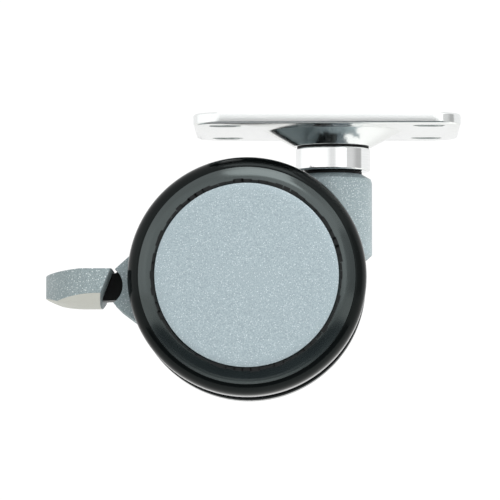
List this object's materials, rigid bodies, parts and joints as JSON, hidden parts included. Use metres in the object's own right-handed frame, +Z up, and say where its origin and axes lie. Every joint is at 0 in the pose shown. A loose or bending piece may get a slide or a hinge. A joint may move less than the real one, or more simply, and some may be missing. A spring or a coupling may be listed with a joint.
{
  "type": "swivel castor",
  "caption": "Twin-wheel swivel castor with a screw-on top plate, a ball-race neck and a foot pedal that locks the wheels.",
  "frame": {"origin": "middle of the plate's top face and of its hole pattern, 1.9 mm behind the swivel axis", "axes": "+Z up out of the mounting face; +X the way the castor leads, so the wheels and the pedal trail to -X; +Y along the axle"},
  "size_m": [0.1313, 0.0618, 0.0885],
  "materials": {
    "zinc_plate": "pressed, zinc plated",
    "bright_zinc": "turned, bright zinc plated",
    "turned_steel": "turned",
    "silver_flake": "moulded, silver flake",
    "wheel_black": "moulded, glossy",
    "black_casting": "cast, painted black",
    "tread": "moulded, matte",
    "bush_plastic": "moulded acetal",
    "black_seal": "moulded"
  },
  "bodies": {
    "plate": {"top_plate": "zinc_plate", "kingpin": "turned_steel", "boss_washer": "black_seal", "collar": "bright_zinc", "upper_race": "turned_steel", "kingpin_circlip": "turned_steel"},
    "housing": {"housing": "silver_flake", "swivel_balls": "turned_steel", "ball_cage": "bush_plastic", "neck_seal": "black_seal", "lower_race": "turned_steel", "upper_bush": "bush_plastic", "lower_bush": "bush_plastic", "thrust_washer": "bush_plastic", "bore_plug": "wheel_black", "axle": "turned_steel", "lever_pin": "turned_steel", "detent_spring": "turned_steel", "right_axle_washer": "turned_steel", "right_axle_clip": "turned_steel", "left_axle_washer": "turned_steel", "left_axle_clip": "turned_steel"},
    "right_wheel": {"right_tyre": "tread", "right_wheel_core": "wheel_black", "right_hub_cap": "silver_flake", "right_inner_bush": "bush_plastic", "right_outer_bush": "bush_plastic"},
    "left_wheel": {"left_tyre": "tread", "left_wheel_core": "wheel_black", "left_hub_cap": "silver_flake", "left_inner_bush": "bush_plastic", "left_outer_bush": "bush_plastic"},
    "lever": {"brake_arm": "black_casting", "brake_pedal": "silver_flake"}
  },
  "joints": [
    {"name": "swivel", "type": "hinge", "parent": "plate", "child": "housing", "pos_m": [0.0019, 0, 0], "axis": [0, 0, 1], "continuous": true},
    {"name": "right_wheel_spin", "type": "hinge", "parent": "housing", "child": "right_wheel", "pos_m": [-0.0251, 0, -0.051], "axis": [0, 1, 0], "continuous": true},
    {"name": "left_wheel_spin", "type": "hinge", "parent": "housing", "child": "left_wheel", "pos_m": [-0.0251, 0, -0.051], "axis": [0, 1, 0], "continuous": true},
    {"name": "lever_tilt", "type": "hinge", "parent": "housing", "child": "lever", "pos_m": [-0.05642, 0, -0.0504], "axis": [0, -1, 0], "range_deg": [0, 15]}
  ]
}
